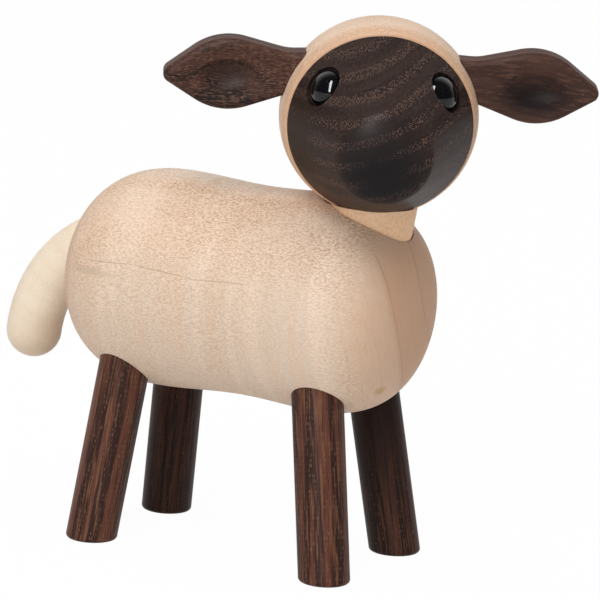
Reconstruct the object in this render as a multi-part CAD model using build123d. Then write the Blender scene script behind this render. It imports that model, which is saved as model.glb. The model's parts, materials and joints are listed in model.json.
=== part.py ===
"""A wooden sheep: turned body, dowel legs, bent tail, and a head that turns on a tapered neck peg.

Millimetres and degrees. +X is forward along the body, +Y is the sheep's left, +Z is up. The sheep is laid
out with the middle of its body over x = 0 and its feet on z = 0. At the end the whole figure is moved so
that the origin is on the floor, at the middle of the box that the figure stands in.
"""
from build123d import *
from math import asin, atan2, cos, degrees, hypot, radians, sin, sqrt, tan
import os

# Body: a block turned about a level axis, with a slight waist
BODY_LENGTH = 73.8
BODY_AXIS_HEIGHT = 51.0
RUMP_RADIUS = 21.3
RUMP_FROM_REAR = 20.2
WAIST_RADIUS = 20.45
WAIST_FROM_REAR = 39.2
SHOULDER_RADIUS = 21.2
SHOULDER_FROM_CHEST = 18.1
REAR_FULLNESS = 0.655
WAIST_FULLNESS = 0.4
CHEST_FULLNESS = 0.68

# Legs: straight dowels that lean in towards the top
LEG_DIAMETER = 10.0
LEG_TOP_BELOW_AXIS = 5.0
FOOT_SPREAD = 29.9
REAR_FOOT_FROM_REAR = 12.7
FRONT_FOOT_FROM_CHEST = 9.3
REAR_LEG_RAKE_ANGLE = 6.1
FRONT_LEG_RAKE_ANGLE = 8.95
LEG_SPLAY = 5.9
FOOT_ROUNDING = 0.8

# Tail: a round stick bent in an arc, shaped to the rump at its root
TAIL_DIAMETER = 11.0
TAIL_BEND_RADIUS = 24.8
TAIL_ROOT_ABOVE_AXIS = 3.3
TAIL_ROOT_SLOPE = 33.0
TAIL_BEND = 51.2
TAIL_ROOT_ALLOWANCE = 10.0
TAIL_DOWEL_DIAMETER = 6.0
TAIL_DOWEL_IN_TAIL = 6.0
TAIL_DOWEL_IN_BODY = 10.0

# Neck: a tapered peg that turns in a tapered socket in the shoulders
NECK_FROM_CHEST = 10.9
NECK_TOP_RADIUS = 8.5
NECK_TAPER = 7.7
NECK_LENGTH = 18.4
NECK_DOWEL_DIAMETER = 8.0
NECK_DOWEL_IN_NECK = 10.0
NECK_DOWEL_IN_HEAD = 9.0

# Head: a ball cut flat in front for the face and below for the neck
HEAD_RADIUS = 19.05
HEAD_CENTRE_ABOVE_BODY_AXIS = 37.5
HEAD_TURN = -60.0
HEAD_LIP_ROUNDING = 0.9
NECK_SEAT_BELOW_HEAD_CENTRE = 17.1

# Face: a cone with a domed nose on the flat of the ball, nodding a little
FACE_NOD = 7.7
FACE_SEAT = 6.4
FACE_REVEAL = 0.15
FACE_LENGTH = 23.0
FACE_EDGE_ROUNDING = 0.3
NOSE_RADIUS = 8.8
NOSE_DOME = 2.2
NOSE_ROUNDING = 3.0
FACE_DOWEL_DIAMETER = 8.0
FACE_DOWEL_IN_HEAD = 8.0
FACE_DOWEL_IN_FACE = 10.0

# Eyes: domed beads with a short shank, in shallow round sockets drilled with a lean towards the nose
EYE_FROM_SEAT = 6.6
EYE_FROM_TOP = 52.1
EYE_LEAN = 38.0
EYE_DIAMETER = 7.0
EYE_RIM = 0.7
EYE_DOME = 1.9
EYE_SOCKET_DIAMETER = 8.25
EYE_SOCKET_DEPTH = 1.9
EYE_SHANK_DIAMETER = 2.5
EYE_SHANK_LENGTH = 5.0

# Ears: leaves with a round tenon and a two-step hollow in front
EAR_ABOVE_HEAD_CENTRE = 8.05
EAR_DROOP = 3.35
EAR_LENGTH = 24.2
EAR_WIDTH = 14.0
EAR_WIDEST_FROM_TIP = 12.4
EAR_STEM_WIDTH = 8.2
EAR_STEM_INSIDE = 4.0
EAR_STEM_RADIUS = 10.0
EAR_FLARE = 17.0
EAR_BELLY_RADIUS = 11.5
EAR_TIP_RADIUS = 1.7
EAR_THICKNESS = 5.2
EAR_EDGE_ROUNDING = 1.2
EAR_TENON_DIAMETER = 5.0
EAR_TENON_LENGTH = 9.0
EAR_HOLLOW_FROM_TIP = 12.2
EAR_HOLLOW_LENGTH = 18.0
EAR_HOLLOW_WIDTH = 10.4
EAR_HOLLOW_DEPTH = 0.8
EAR_DISH_LENGTH = 13.4
EAR_DISH_WIDTH = 6.8
EAR_DISH_DEPTH = 2.0

# Fits: glued joints keep a film of glue, the neck runs in its socket, whose mouth is eased, and the head
# clears the shoulders
GLUE_FILM = 0.05
HOLE_SPARE_DEPTH = 0.2
NECK_RUNNING_CLEARANCE = 0.08
NECK_END_GAP = 0.3
NECK_MOUTH_GAP = 0.22
NECK_MOUTH_DEPTH = 0.5
HEAD_CLEARANCE = 0.35

# A tool that cuts a hole starts this far outside the wood
TOOL_OVERRUN = 8.0

REAR_X = -BODY_LENGTH / 2
CHEST_X = BODY_LENGTH / 2
NECK_X = CHEST_X - NECK_FROM_CHEST
HEAD_CENTRE_HEIGHT = BODY_AXIS_HEIGHT + HEAD_CENTRE_ABOVE_BODY_AXIS
NECK_TOP_HEIGHT = HEAD_CENTRE_HEIGHT - NECK_SEAT_BELOW_HEAD_CENTRE
HEAD_CENTRE = Pos(NECK_X, 0, HEAD_CENTRE_HEIGHT)
HEAD_PLACE = HEAD_CENTRE * Rot(0, 0, HEAD_TURN) * Rot(0, FACE_NOD, 0)
FACE_SEAT_RADIUS = sqrt(HEAD_RADIUS**2 - FACE_SEAT**2)
FACE_BASE_RADIUS = FACE_SEAT_RADIUS - FACE_REVEAL


def rod(start, end, diameter):
    """A straight round rod from one point to another."""
    start = Vector(start)
    run = Vector(end) - start
    along = Plane(origin=start, z_dir=run)
    return along * Cylinder(diameter / 2, run.length, align=(Align.CENTER, Align.CENTER, Align.MIN))


def glue_hole(start, end, diameter):
    """The hole for a glued rod: a film of glue round it and a little spare depth at its end."""
    start, end = Vector(start), Vector(end)
    deeper = end + (end - start).normalized() * HOLE_SPARE_DEPTH
    return rod(start, deeper, diameter + 2 * GLUE_FILM)


def turned(edges):
    """The solid that an outline beside the X axis makes when it is turned about that axis."""
    return revolve(make_face(edges), Axis.X)


def body_blank(allowance=0.0):
    """The turned body before any hole, with its skin moved outwards by an allowance."""
    rear_x = REAR_X - allowance
    chest_x = CHEST_X + allowance
    rump_x = REAR_X + RUMP_FROM_REAR
    waist_x = REAR_X + WAIST_FROM_REAR
    shoulder_x = CHEST_X - SHOULDER_FROM_CHEST
    rump = RUMP_RADIUS + allowance
    waist = WAIST_RADIUS + allowance
    shoulder = SHOULDER_RADIUS + allowance
    rear_end = Bezier(
        (rear_x, 0),
        (rear_x, rump * REAR_FULLNESS),
        (rump_x - (rump_x - rear_x) * REAR_FULLNESS, rump),
        (rump_x, rump),
    )
    rear_flank = Bezier(
        (rump_x, rump),
        (rump_x + (waist_x - rump_x) * WAIST_FULLNESS, rump),
        (waist_x - (waist_x - rump_x) * WAIST_FULLNESS, waist),
        (waist_x, waist),
    )
    front_flank = Bezier(
        (waist_x, waist),
        (waist_x + (shoulder_x - waist_x) * WAIST_FULLNESS, waist),
        (shoulder_x - (shoulder_x - waist_x) * WAIST_FULLNESS, shoulder),
        (shoulder_x, shoulder),
    )
    chest_end = Bezier(
        (shoulder_x, shoulder),
        (shoulder_x + (chest_x - shoulder_x) * CHEST_FULLNESS, shoulder),
        (chest_x, shoulder * CHEST_FULLNESS),
        (chest_x, 0),
    )
    axis_line = Line((chest_x, 0), (rear_x, 0))
    return Pos(0, 0, BODY_AXIS_HEIGHT) * turned([rear_end, rear_flank, front_flank, chest_end, axis_line])


def leg_line(front, side):
    """Where a leg's centre line stands on the floor and where it ends inside the body."""
    rake = FRONT_LEG_RAKE_ANGLE if front else -REAR_LEG_RAKE_ANGLE
    foot_x = CHEST_X - FRONT_FOOT_FROM_CHEST if front else REAR_X + REAR_FOOT_FROM_REAR
    foot = Vector(foot_x, side * FOOT_SPREAD / 2, 0)
    rise = BODY_AXIS_HEIGHT - LEG_TOP_BELOW_AXIS
    top = foot + Vector(-tan(radians(rake)), -side * tan(radians(LEG_SPLAY)), 1) * rise
    return foot, top


def leg(foot, top):
    """A splayed dowel cut level at the floor, with the edge of its foot rounded."""
    below = foot - (top - foot).normalized() * LEG_DIAMETER
    floor_cut = Pos(foot.X, foot.Y, 0) * Box(
        3 * LEG_DIAMETER, 3 * LEG_DIAMETER, 3 * LEG_DIAMETER, align=(Align.CENTER, Align.CENTER, Align.MAX)
    )
    dowel = rod(below, top, LEG_DIAMETER) - floor_cut
    foot_edge = dowel.edges().group_by(Axis.Z)[0]
    return fillet(foot_edge, FOOT_ROUNDING)


def tail_root():
    """Where the tail's centre line crosses the rear end, and the way it runs back and down from there."""
    slope = radians(TAIL_ROOT_SLOPE)
    root = Vector(REAR_X, 0, BODY_AXIS_HEIGHT + TAIL_ROOT_ABOVE_AXIS)
    return root, Vector(-cos(slope), 0, -sin(slope))


def tail_dowel_ends():
    """The two ends of the straight dowel between the tail and the rump: in the tail, in the body."""
    root, away = tail_root()
    return root + away * TAIL_DOWEL_IN_TAIL, root - away * TAIL_DOWEL_IN_BODY


def tail():
    """A bent stick with a round end, hollowed at the root to sit on the rump, and drilled for its dowel."""
    root, _ = tail_root()
    root_angle = 90 + TAIL_ROOT_SLOPE
    start_angle = root_angle - degrees(TAIL_ROOT_ALLOWANCE / TAIL_BEND_RADIUS)
    end_angle = root_angle + TAIL_BEND
    reach = Vector(cos(radians(root_angle)), 0, sin(radians(root_angle))) * TAIL_BEND_RADIUS
    bend_centre = root - reach
    bend_plane = Plane(origin=bend_centre, x_dir=(1, 0, 0), z_dir=(0, -1, 0))
    centre_line = bend_plane * CenterArc((0, 0), TAIL_BEND_RADIUS, start_angle, end_angle - start_angle)
    section = Plane(origin=centre_line @ 0, z_dir=centre_line % 0) * Circle(TAIL_DIAMETER / 2)
    stick = sweep(section, path=centre_line)
    round_end = Pos(centre_line @ 1) * Sphere(TAIL_DIAMETER / 2)
    in_tail, in_body = tail_dowel_ends()
    return stick + round_end - body_blank(GLUE_FILM) - glue_hole(in_body, in_tail, TAIL_DOWEL_DIAMETER)


def neck_peg(clearance=0.0, end_gap=0.0, overrun=0.0):
    """The neck's taper, from its lower end to its top, or the socket that it turns in."""
    bottom = NECK_TOP_HEIGHT - NECK_LENGTH - end_gap
    top = NECK_TOP_HEIGHT + overrun
    slope = tan(radians(NECK_TAPER))
    top_radius = NECK_TOP_RADIUS + clearance + slope * overrun
    bottom_radius = NECK_TOP_RADIUS + clearance - slope * (NECK_LENGTH + end_gap)
    frustum = Cone(bottom_radius, top_radius, top - bottom, align=(Align.CENTER, Align.CENTER, Align.MIN))
    return Pos(NECK_X, 0, bottom) * frustum


def neck_dowel_ends():
    """The two ends of the dowel between the neck and the head: in the neck, in the head."""
    in_neck = Vector(NECK_X, 0, NECK_TOP_HEIGHT - NECK_DOWEL_IN_NECK)
    in_head = Vector(NECK_X, 0, NECK_TOP_HEIGHT + NECK_DOWEL_IN_HEAD)
    return in_neck, in_head


def neck_seat():
    """The flat-bottomed cut under the head and the face that the top of the neck is glued into."""
    seat_radius = NECK_TOP_RADIUS + GLUE_FILM
    cut = Cylinder(seat_radius, NECK_LENGTH, align=(Align.CENTER, Align.CENTER, Align.MAX))
    return Pos(NECK_X, 0, NECK_TOP_HEIGHT + GLUE_FILM) * cut


def body():
    """The turned body, drilled for legs, tail and neck, and dished under the ball of the head."""
    solid = body_blank()
    for front in (False, True):
        for side in (-1, 1):
            foot, top = leg_line(front, side)
            solid -= glue_hole(foot, top, LEG_DIAMETER)
    in_tail, in_body = tail_dowel_ends()
    solid -= glue_hole(in_tail, in_body, TAIL_DOWEL_DIAMETER)
    solid -= neck_peg(NECK_RUNNING_CLEARANCE, NECK_END_GAP, TOOL_OVERRUN)
    solid -= neck_peg(NECK_MOUTH_GAP, overrun=TOOL_OVERRUN) - body_blank(-NECK_MOUTH_DEPTH)
    return solid - HEAD_CENTRE * Sphere(HEAD_RADIUS + HEAD_CLEARANCE)


def face_dowel_ends():
    """The two ends of the dowel between the head and the face, along the face's own axis."""
    return Vector(FACE_SEAT - FACE_DOWEL_IN_HEAD, 0, 0), Vector(FACE_SEAT + FACE_DOWEL_IN_FACE, 0, 0)


def ear_axis():
    """Where the left ear's centre line leaves the ball, and the way it runs outwards from there."""
    droop = radians(EAR_DROOP)
    root = Vector(0, sqrt(HEAD_RADIUS**2 - EAR_ABOVE_HEAD_CENTRE**2), EAR_ABOVE_HEAD_CENTRE)
    return root, Vector(0, cos(droop), -sin(droop))


def head():
    """The ball, cut flat for the face with a rounded lip, and drilled for its dowels and the ears."""
    back = CenterArc((0, 0), HEAD_RADIUS, 180, -180)
    ball = make_face([back, Line(back @ 1, back @ 0)])
    front_cut = Pos(FACE_SEAT, 0) * Rectangle(HEAD_RADIUS, 3 * HEAD_RADIUS, align=(Align.MIN, Align.CENTER))
    outline = ball - front_cut
    lip = outline.vertices().sort_by(Axis.Y)[-1]
    solid = revolve(fillet(lip, HEAD_LIP_ROUNDING), Axis.X)
    in_head, in_face = face_dowel_ends()
    solid -= glue_hole(in_face, in_head, FACE_DOWEL_DIAMETER)
    root, outwards = ear_axis()
    tenon_end = root - outwards * EAR_TENON_LENGTH
    tenon_hole = glue_hole(root + outwards * TOOL_OVERRUN, tenon_end, EAR_TENON_DIAMETER)
    solid -= tenon_hole + mirror(tenon_hole, Plane.XZ)
    in_neck, in_ball = neck_dowel_ends()
    return HEAD_PLACE * solid - neck_seat() - glue_hole(in_neck, in_ball, NECK_DOWEL_DIAMETER)


def eye_plane(side):
    """The plane square to an eye's axis, where that axis meets the face's cone."""
    radius = FACE_BASE_RADIUS - (FACE_BASE_RADIUS - NOSE_RADIUS) * EYE_FROM_SEAT / (FACE_LENGTH - NOSE_DOME)
    across = side * sin(radians(EYE_FROM_TOP))
    upwards = cos(radians(EYE_FROM_TOP))
    place = (FACE_SEAT + EYE_FROM_SEAT, radius * across, radius * upwards)
    return Plane(origin=place, z_dir=(tan(radians(EYE_LEAN)), across, upwards))


def eye_socket(side):
    """The round socket of an eye and the hole for its shank."""
    floor = -EYE_SOCKET_DEPTH
    recess = rod((0, 0, TOOL_OVERRUN), (0, 0, floor), EYE_SOCKET_DIAMETER)
    shank_hole = glue_hole((0, 0, 0), (0, 0, floor - EYE_SHANK_LENGTH), EYE_SHANK_DIAMETER)
    return eye_plane(side) * (recess + shank_hole)


def eye(side):
    """A domed bead on the floor of its socket, with a shank into the wood."""
    back = GLUE_FILM - EYE_SOCKET_DEPTH
    rim = back + EYE_RIM
    bead_radius = EYE_DIAMETER / 2
    dome_radius = (bead_radius**2 + EYE_DOME**2) / (2 * EYE_DOME)
    disc = rod((0, 0, back), (0, 0, rim + EYE_DOME), EYE_DIAMETER)
    bead = disc & Pos(0, 0, rim + EYE_DOME - dome_radius) * Sphere(dome_radius)
    shank = rod((0, 0, rim), (0, 0, -EYE_SOCKET_DEPTH - EYE_SHANK_LENGTH), EYE_SHANK_DIAMETER)
    return HEAD_PLACE * (eye_plane(side) * (bead + shank))


def face():
    """The cone with a domed nose, drilled for its dowel and the eyes, and cut for the neck."""
    base_x = FACE_SEAT + GLUE_FILM
    nose_x = FACE_SEAT + FACE_LENGTH
    dome_radius = (NOSE_RADIUS**2 + NOSE_DOME**2) / (2 * NOSE_DOME)
    dome_angle = degrees(asin(NOSE_RADIUS / dome_radius))
    dome = CenterArc((nose_x - dome_radius, 0), dome_radius, 0, dome_angle)
    cone = Line(dome @ 1, (base_x, FACE_BASE_RADIUS))
    base = Line(cone @ 1, (base_x, 0))
    outline = make_face([dome, cone, base, Line(base @ 1, dome @ 0)])
    outline = fillet(outline.vertices().sort_by(Axis.Y)[-2], NOSE_ROUNDING)
    outline = fillet(outline.vertices().sort_by(Axis.Y)[-1], FACE_EDGE_ROUNDING)
    solid = revolve(outline, Axis.X)
    in_head, in_face = face_dowel_ends()
    solid -= glue_hole(in_head, in_face, FACE_DOWEL_DIAMETER)
    for side in (-1, 1):
        solid -= eye_socket(side)
    return HEAD_PLACE * solid - neck_seat()


def hollow(length, width, depth):
    """A boat-shaped cutter, long in X, that leaves an oval hollow of this size in the plane z = 0."""
    bilge_radius = ((width / 2) ** 2 + depth**2) / (2 * depth)
    side = bilge_radius - depth
    keel = ThreePointArc((-length / 2, side), (0, bilge_radius), (length / 2, side))
    stem = Line(keel @ 1, (length / 2, 0))
    stern = Line((-length / 2, 0), keel @ 0)
    return Pos(0, 0, side) * turned([keel, stem, Line(stem @ 1, stern @ 0), stern])


def ear_outline():
    """The leaf lying along X from inside the ball to the tip: straight flanks between round corners."""
    stem = EAR_STEM_WIDTH / 2
    belly_x = EAR_LENGTH - EAR_WIDEST_FROM_TIP
    belly_centre = EAR_WIDTH / 2 - EAR_BELLY_RADIUS
    tip_x = EAR_LENGTH - EAR_TIP_RADIUS
    run = tip_x - belly_x
    flank = asin((EAR_BELLY_RADIUS - EAR_TIP_RADIUS) / hypot(run, belly_centre)) - atan2(-belly_centre, run)
    flare = radians(EAR_FLARE)
    point_x = tip_x + EAR_TIP_RADIUS / sin(flank)
    touch_x = belly_x - EAR_BELLY_RADIUS * sin(flare)
    touch_y = belly_centre + EAR_BELLY_RADIUS * cos(flare)
    stem_x = touch_x - (touch_y - stem) / tan(flare)
    corner_x = (point_x * tan(flank) + touch_x * tan(flare) - touch_y) / (tan(flank) + tan(flare))
    corner_y = (point_x - corner_x) * tan(flank)
    inner_x = min(stem_x, 0) - EAR_STEM_INSIDE
    upper = [(inner_x, stem), (stem_x, stem), (corner_x, corner_y)]
    lower = [(x, -y) for x, y in reversed(upper)]
    corner_radii = [EAR_STEM_RADIUS, EAR_BELLY_RADIUS, EAR_TIP_RADIUS, EAR_BELLY_RADIUS, EAR_STEM_RADIUS]
    rim = FilletPolyline(upper + [(point_x, 0)] + lower, radius=corner_radii)
    return make_face([rim, Line(rim @ 1, rim @ 0)])


def left_ear():
    """The left ear: a leaf with rounded edges, hollowed in front, shaped to the ball, with its tenon."""
    leaf = extrude(ear_outline(), EAR_THICKNESS / 2, both=True)
    rims = leaf.faces().sort_by(Axis.Z)[0].edges() + leaf.faces().sort_by(Axis.Z)[-1].edges()
    leaf = fillet(rims, EAR_EDGE_ROUNDING)
    front = Pos(EAR_LENGTH - EAR_HOLLOW_FROM_TIP, 0, EAR_THICKNESS / 2)
    leaf -= front * hollow(EAR_HOLLOW_LENGTH, EAR_HOLLOW_WIDTH, EAR_HOLLOW_DEPTH)
    leaf -= front * hollow(EAR_DISH_LENGTH, EAR_DISH_WIDTH, EAR_DISH_DEPTH)
    root, outwards = ear_axis()
    leaf_plane = Plane(origin=root, x_dir=outwards, z_dir=(1, 0, 0))
    tenon = rod(root + outwards * EAR_STEM_INSIDE, root - outwards * EAR_TENON_LENGTH, EAR_TENON_DIAMETER)
    return leaf_plane * leaf - Sphere(HEAD_RADIUS + GLUE_FILM) + tenon


def pieces():
    """Every piece of the sheep under its own name, with the head turned as it rests."""
    made = {"body": body(), "tail": tail(), "tail_dowel": rod(*tail_dowel_ends(), TAIL_DOWEL_DIAMETER)}
    for end_name, front in (("rear", False), ("front", True)):
        for side_name, side in (("left", 1), ("right", -1)):
            made[f"leg_{end_name}_{side_name}"] = leg(*leg_line(front, side))
    in_neck, in_ball = neck_dowel_ends()
    made["neck"] = neck_peg() - glue_hole(in_ball, in_neck, NECK_DOWEL_DIAMETER)
    made["neck_dowel"] = rod(in_neck, in_ball, NECK_DOWEL_DIAMETER)
    made["head"] = head()
    made["face"] = face()
    made["face_dowel"] = HEAD_PLACE * rod(*face_dowel_ends(), FACE_DOWEL_DIAMETER)
    ear = left_ear()
    made["ear_left"] = HEAD_PLACE * ear
    made["ear_right"] = HEAD_PLACE * mirror(ear, Plane.XZ)
    made["eye_left"] = eye(1)
    made["eye_right"] = eye(-1)
    return made


def to_origin(made):
    """The move that puts the floor under the middle of the whole figure at the origin."""
    boxes = [solid.bounding_box() for solid in made.values()]
    middle_x = (min(box.min.X for box in boxes) + max(box.max.X for box in boxes)) / 2
    middle_y = (min(box.min.Y for box in boxes) + max(box.max.Y for box in boxes)) / 2
    floor = min(box.min.Z for box in boxes)
    return Pos(-middle_x, -middle_y, -floor)


def main():
    """Make every piece and write each to its own file."""
    os.makedirs("parts", exist_ok=True)
    made = pieces()
    move = to_origin(made)
    for name, solid in made.items():
        placed = move * solid
        placed.label = name
        export_step(placed, f"parts/{name}.step")
    pivot = (move * HEAD_CENTRE).position
    print(f"neck axis at x {pivot.X:.4f} y {pivot.Y:.4f}, head centre at z {pivot.Z:.4f}")


main()
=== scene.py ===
"""The looks of a wooden sheep: pale turned body, dark legs, face and ears, glossy eyes, in a white studio.

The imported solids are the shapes. Each gets a wood that is cut from a log of its own: the log's heart line
and fibre direction are placed in the sheep, and rings, rays, pores and curl are worked out from them, so the
grain runs through a piece and shows as end grain where the fibres are cut across. Metres in the scene,
millimetres inside the log.
"""

import json
import logging
import math
from collections.abc import Mapping, Sequence
from dataclasses import dataclass, replace
from enum import Enum

import bpy
from mathutils import Matrix, Vector


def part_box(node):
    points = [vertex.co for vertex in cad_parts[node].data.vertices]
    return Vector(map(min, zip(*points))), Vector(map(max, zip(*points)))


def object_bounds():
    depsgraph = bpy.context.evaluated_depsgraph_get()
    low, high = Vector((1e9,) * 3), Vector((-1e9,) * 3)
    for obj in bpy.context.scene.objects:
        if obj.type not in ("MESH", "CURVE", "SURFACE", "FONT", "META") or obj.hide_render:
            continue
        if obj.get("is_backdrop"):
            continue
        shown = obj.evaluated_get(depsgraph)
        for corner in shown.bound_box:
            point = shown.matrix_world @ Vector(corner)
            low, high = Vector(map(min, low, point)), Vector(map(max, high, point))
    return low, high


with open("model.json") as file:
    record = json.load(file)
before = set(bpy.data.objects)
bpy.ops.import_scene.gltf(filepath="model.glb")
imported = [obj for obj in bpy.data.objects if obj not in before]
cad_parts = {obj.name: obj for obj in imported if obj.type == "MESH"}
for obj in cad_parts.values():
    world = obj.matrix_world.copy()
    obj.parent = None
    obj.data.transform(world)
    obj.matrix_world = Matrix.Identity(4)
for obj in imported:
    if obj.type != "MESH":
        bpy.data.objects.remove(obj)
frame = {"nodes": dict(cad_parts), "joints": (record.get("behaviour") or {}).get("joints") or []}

log = logging.getLogger("sheep")

MM = 0.001
QUARTER_TURN = 90.0
NO_STEP = (0.0, 0.0, 0.0)
WHITE = (1.0, 1.0, 1.0)

Pair = tuple[float, float]
Triple = tuple[float, float, float]
Colour = Triple
Inputs = Mapping[int | str, object]
Socket = bpy.types.NodeSocket
Material = bpy.types.Material

# A Mix node's sockets go by number: the share, the two colours, and the mixed colour that comes out
MIX_SHARE = 0
MIX_FIRST = 6
MIX_SECOND = 7
MIX_RESULT = 2

# The middle of a noise's range, and how many finer layers most noises have
NOISE_MIDDLE = 0.5
FINER_LAYERS = 2.0

# How long and how wide the waves are in which rings wander from true circles, in millimetres
WANDER_LENGTH = 38.0
WANDER_WIDTH = 17.0

# A fade says where a pattern sets in, where it is full and, if that isn't 1, how strong it is there
MARK_FADE = (1.0, 0.25)

# Pale wood: the sizes of its patterns along the fibres, round the log and out from the heart, in millimetres
PATCH_SIZE = (26.0, 11.0, 11.0)
GAP_SIZE = (16.0, 9.0, 4.0)
THREAD_SIZE = (6.0, 3.0, 0.2)
CURL_REACH = 40.0

# Pale wood: how many steps the noise of the light specks is moved along from that of the flecks
SPECK_SHIFT = 40.0

# Pale wood: the fades of its patterns
CUT_FADE = (0.45, 0.9)
SQUARE_CUT_FADE = (0.85, 0.97)
END_FADE = (0.45, 0.98)
PATCH_FADE = (0.25, 0.8)
FLECK_FADE = (0.42, 0.60)
FLECK_PATCH_FADE = (0.3, 0.65, 0.5)
FLECK_BAND_FADE = (2.4, 0.5, 0.35)
SPECK_FADE = (0.5, 0.68, 0.55)
THREAD_FADE = (0.5, 0.72, 0.4)
GAP_FADE = (0.30, 0.55)
DEEP_CURL_FADE = (0.48, 0.62)
LIGHT_CURL_FADE = (0.46, 0.34)

# Pale wood: over how many millimetres each zone of the log sets in
LINE_RUN = 30.0
OUTER_RUN = 6.0
INNER_RUN = 4.0
DARK_END_RUN = 1.5
RIM_RUN = 3.0

# Pale wood: how sharp its ring lines are, and how strong its other patterns
LINE_SHARPNESS = 70.0
FAINT_LINE_SHARPNESS = 50.0
RING_SHADE_SHARPNESS = 8.0
FAINT_LINE_STRENGTH = 0.35
RING_SHADE_STRENGTH = 0.3
RIM_STRENGTH = 0.8
LIGHTER_END_STRENGTH = 0.7
FLECKS_ANYWHERE = 0.5
FLECKS_LOST_AT_END = 0.8
FLECKS_LOST_FAR_OUT = 0.35
FLECK_ROUGHNESS = 0.12
FLECK_RELIEF = 0.5
PALE_RELIEF_DEPTH = 0.000015
PALE_SHINE = 0.4

# Dark wood: the sizes of its patterns in millimetres, and how rough their noise is
STRIPE_LENGTH = 70.0
STRIPE_REACH = 40.0
RIDGE_WIDTH = 0.22
STREAK_NOISE_ROUGHNESS = 0.6

# Dark wood: the fades of its patterns
PORE_FADE = (0.5, 0.28)
BAND_START_FADE = (0.0, 0.06)
STRIPE_FADE = (0.44, 0.56)
WARM_STREAK_FADE = (0.50, 0.66, 0.8)
DARK_STREAK_FADE = (0.46, 0.32, 0.7)
STREAK_RELIEF_FADE = (0.5, 0.8, 0.2)
DARK_END_FADE = (0.7, 1.0)
WORN_FADE = (0.78, 0.96)
POLISH_FADE = (0.55, 0.75)
# The lathe ridges are painted lighter along their crests, as painted highlight lines
PAINTED_RIDGE_HIGHLIGHT_FADE = (0.5, 0.75, 0.35)

# Dark wood: how much of a band of pores is full, and how softly the places that hold a pore are chosen
BAND_FULL_SHARE = 0.6
PORE_CHOICE_RUN = 0.04

# Dark wood: how strong its other patterns are
PORE_STRENGTH = 0.85
PORES_LOST_WHERE_WORN = 0.3
PORE_RELIEF = 0.6
RIDGE_RELIEF = 0.8
PORE_ROUGHNESS = 0.25
STREAK_ROUGHNESS = 0.12
POLISH_ROUGHNESS = 0.3
DARK_RELIEF_DEPTH = 0.00006


class Side(Enum):
    """The sheep's own left and right, as the sign of the Y axis."""

    LEFT = 1
    RIGHT = -1


class End(Enum):
    """The two ends of the body that carry legs, as the way the feet step out along X."""

    FRONT = 1
    REAR = -1


def direction(azimuth: float, elevation: float) -> Vector:
    """The way to a point so far round from the -Y side towards +X and so far up, both in degrees."""
    turn, rise = math.radians(azimuth), math.radians(elevation)
    return Vector((math.sin(turn) * math.cos(rise), -math.cos(turn) * math.cos(rise), math.sin(rise)))


class Value:
    """A number that changes over a surface: a node's output, with arithmetic that adds Math nodes."""

    def __init__(self, recipe: "Recipe", socket: Socket) -> None:
        """Wrap an output socket of a recipe's node."""
        self.recipe = recipe
        self.socket = socket

    def _math(self, operation: str, *numbers: "Value | float") -> "Value":
        """The result of one Math node with this operation and these inputs, in order."""
        made = self.recipe.node("ShaderNodeMath", {"operation": operation}, dict(enumerate(numbers)))
        return Value(self.recipe, made.outputs[0])

    def __add__(self, other: "Value | float") -> "Value":
        """self + other"""
        return self._math("ADD", self, other)

    __radd__ = __add__

    def __sub__(self, other: "Value | float") -> "Value":
        """self - other"""
        return self._math("SUBTRACT", self, other)

    def __rsub__(self, other: float) -> "Value":
        """other - self"""
        return self._math("SUBTRACT", other, self)

    def __mul__(self, other: "Value | float") -> "Value":
        """self * other"""
        return self._math("MULTIPLY", self, other)

    def __truediv__(self, other: "Value | float") -> "Value":
        """self / other"""
        return self._math("DIVIDE", self, other)

    def __pow__(self, other: "Value | float") -> "Value":
        """self ** other"""
        return self._math("POWER", self, other)

    def __abs__(self) -> "Value":
        """The size of the number."""
        return self._math("ABSOLUTE", self)

    def root(self) -> "Value":
        """The square root."""
        return self._math("SQRT", self)

    def fraction(self) -> "Value":
        """What is left over a whole number."""
        return self._math("FRACT", self)

    def larger(self, other: "Value | float") -> "Value":
        """The larger of the two."""
        return self._math("MAXIMUM", self, other)

    def angle(self, other: "Value") -> "Value":
        """The angle whose tangent is self over other."""
        return self._math("ARCTAN2", self, other)


@dataclass(frozen=True)
class Log:
    """How a piece lies in its tree: a point on the heart line, the fibres' direction, and the piece's middle.

    Attributes:
        heart: A point on the tree's heart line, in metres.
        fibres: The direction that the fibres and the heart line run in.
        middle: The middle of the piece, which the angle round the log is measured from.
        shift: How far the noise is moved along the log, in millimetres, so that pieces differ.
    """

    heart: Vector
    fibres: Vector
    middle: Vector
    shift: float = 0.0

    def outward(self) -> Vector:
        """The way from the heart line square out to the piece's middle."""
        along, way = self.fibres.normalized(), self.middle - self.heart
        return way - along * way.dot(along)

    def axes(self) -> Matrix:
        """The log's own axes as columns: along the fibres, out from the heart to the piece, and round."""
        along, out = self.fibres.normalized(), self.outward().normalized()
        return Matrix((along, out, along.cross(out))).transposed()

    def reach(self) -> float:
        """How far the piece's middle is from the heart line, in millimetres."""
        return self.outward().length / MM


@dataclass(frozen=True)
class Mark:
    """A soft-edged stain, shade or knot in the wood.

    Attributes:
        place: Its middle, from its origin and along its axes, in millimetres.
        size: How far it reaches along each of its axes, in millimetres.
        colour: Its colour.
        strength: How strong it is in the middle, from 0 to 1.
        origin: Where its place is measured from, in metres.
        axes: Its axes as columns.
    """

    place: Triple
    size: Triple
    colour: Colour
    strength: float
    origin: Vector = Vector()
    axes: Matrix = Matrix.Identity(3)


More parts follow.
